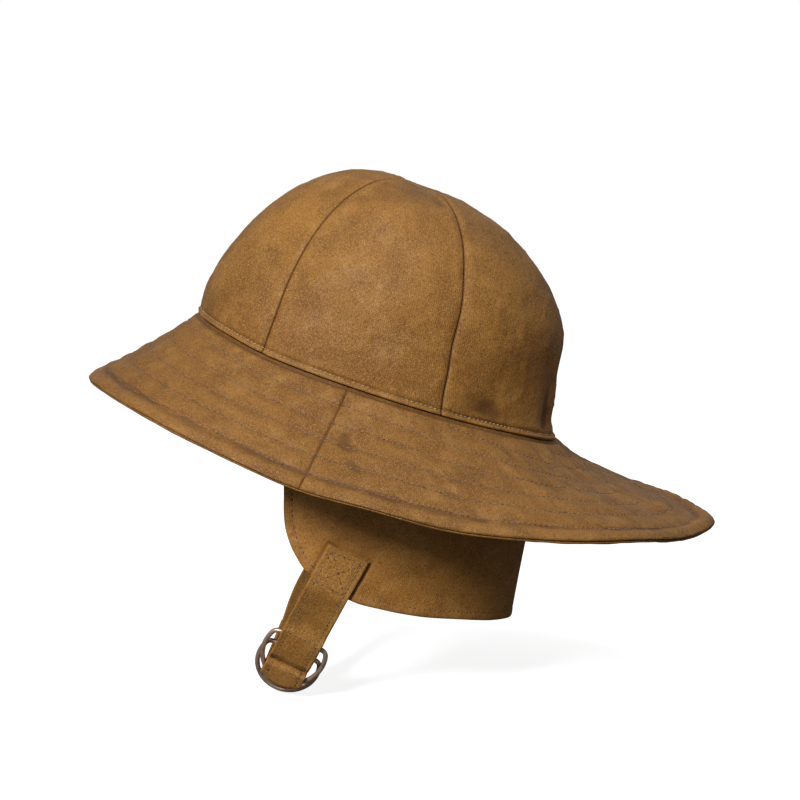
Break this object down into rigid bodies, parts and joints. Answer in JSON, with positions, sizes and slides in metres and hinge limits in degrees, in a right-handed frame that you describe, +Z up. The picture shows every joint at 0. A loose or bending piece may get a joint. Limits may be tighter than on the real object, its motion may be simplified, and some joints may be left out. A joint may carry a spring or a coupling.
{
  "type": "sou wester hat",
  "caption": "Rain hat with a gored crown, a stitched brim that is longest behind, an ear and neck flap, and a chin strap with D-rings.",
  "frame": {"origin": "middle of the head opening, where the hat sits on a head", "axes": "+Z up, the face at -Y, the wearer's left at +X; the hat is tipped back 20 degrees as it is worn"},
  "size_m": [0.2892, 0.3443, 0.2849],
  "materials": {
    "waxed_cloth": "tan-brown waxed cotton canvas with a fine grain and a dull waxy sheen",
    "brim_lining": "the same waxed cotton, matt and a little darker, under the brim",
    "bronze_ring": "satin antique bronze wire"
  },
  "bodies": {
    "root": {"crown_gore_front_left": "waxed_cloth", "crown_gore_side_left": "waxed_cloth", "crown_gore_back_left": "waxed_cloth", "crown_gore_back_right": "waxed_cloth", "crown_gore_side_right": "waxed_cloth", "crown_gore_front_right": "waxed_cloth", "brim_front_top": "waxed_cloth", "brim_back_top": "waxed_cloth", "brim_front_under": "brim_lining", "brim_back_under": "brim_lining", "neck_flap": "waxed_cloth", "ring_strap": "waxed_cloth", "long_strap": "waxed_cloth", "d_ring_front": "bronze_ring", "d_ring_back": "bronze_ring"}
  },
  "joints": []
}
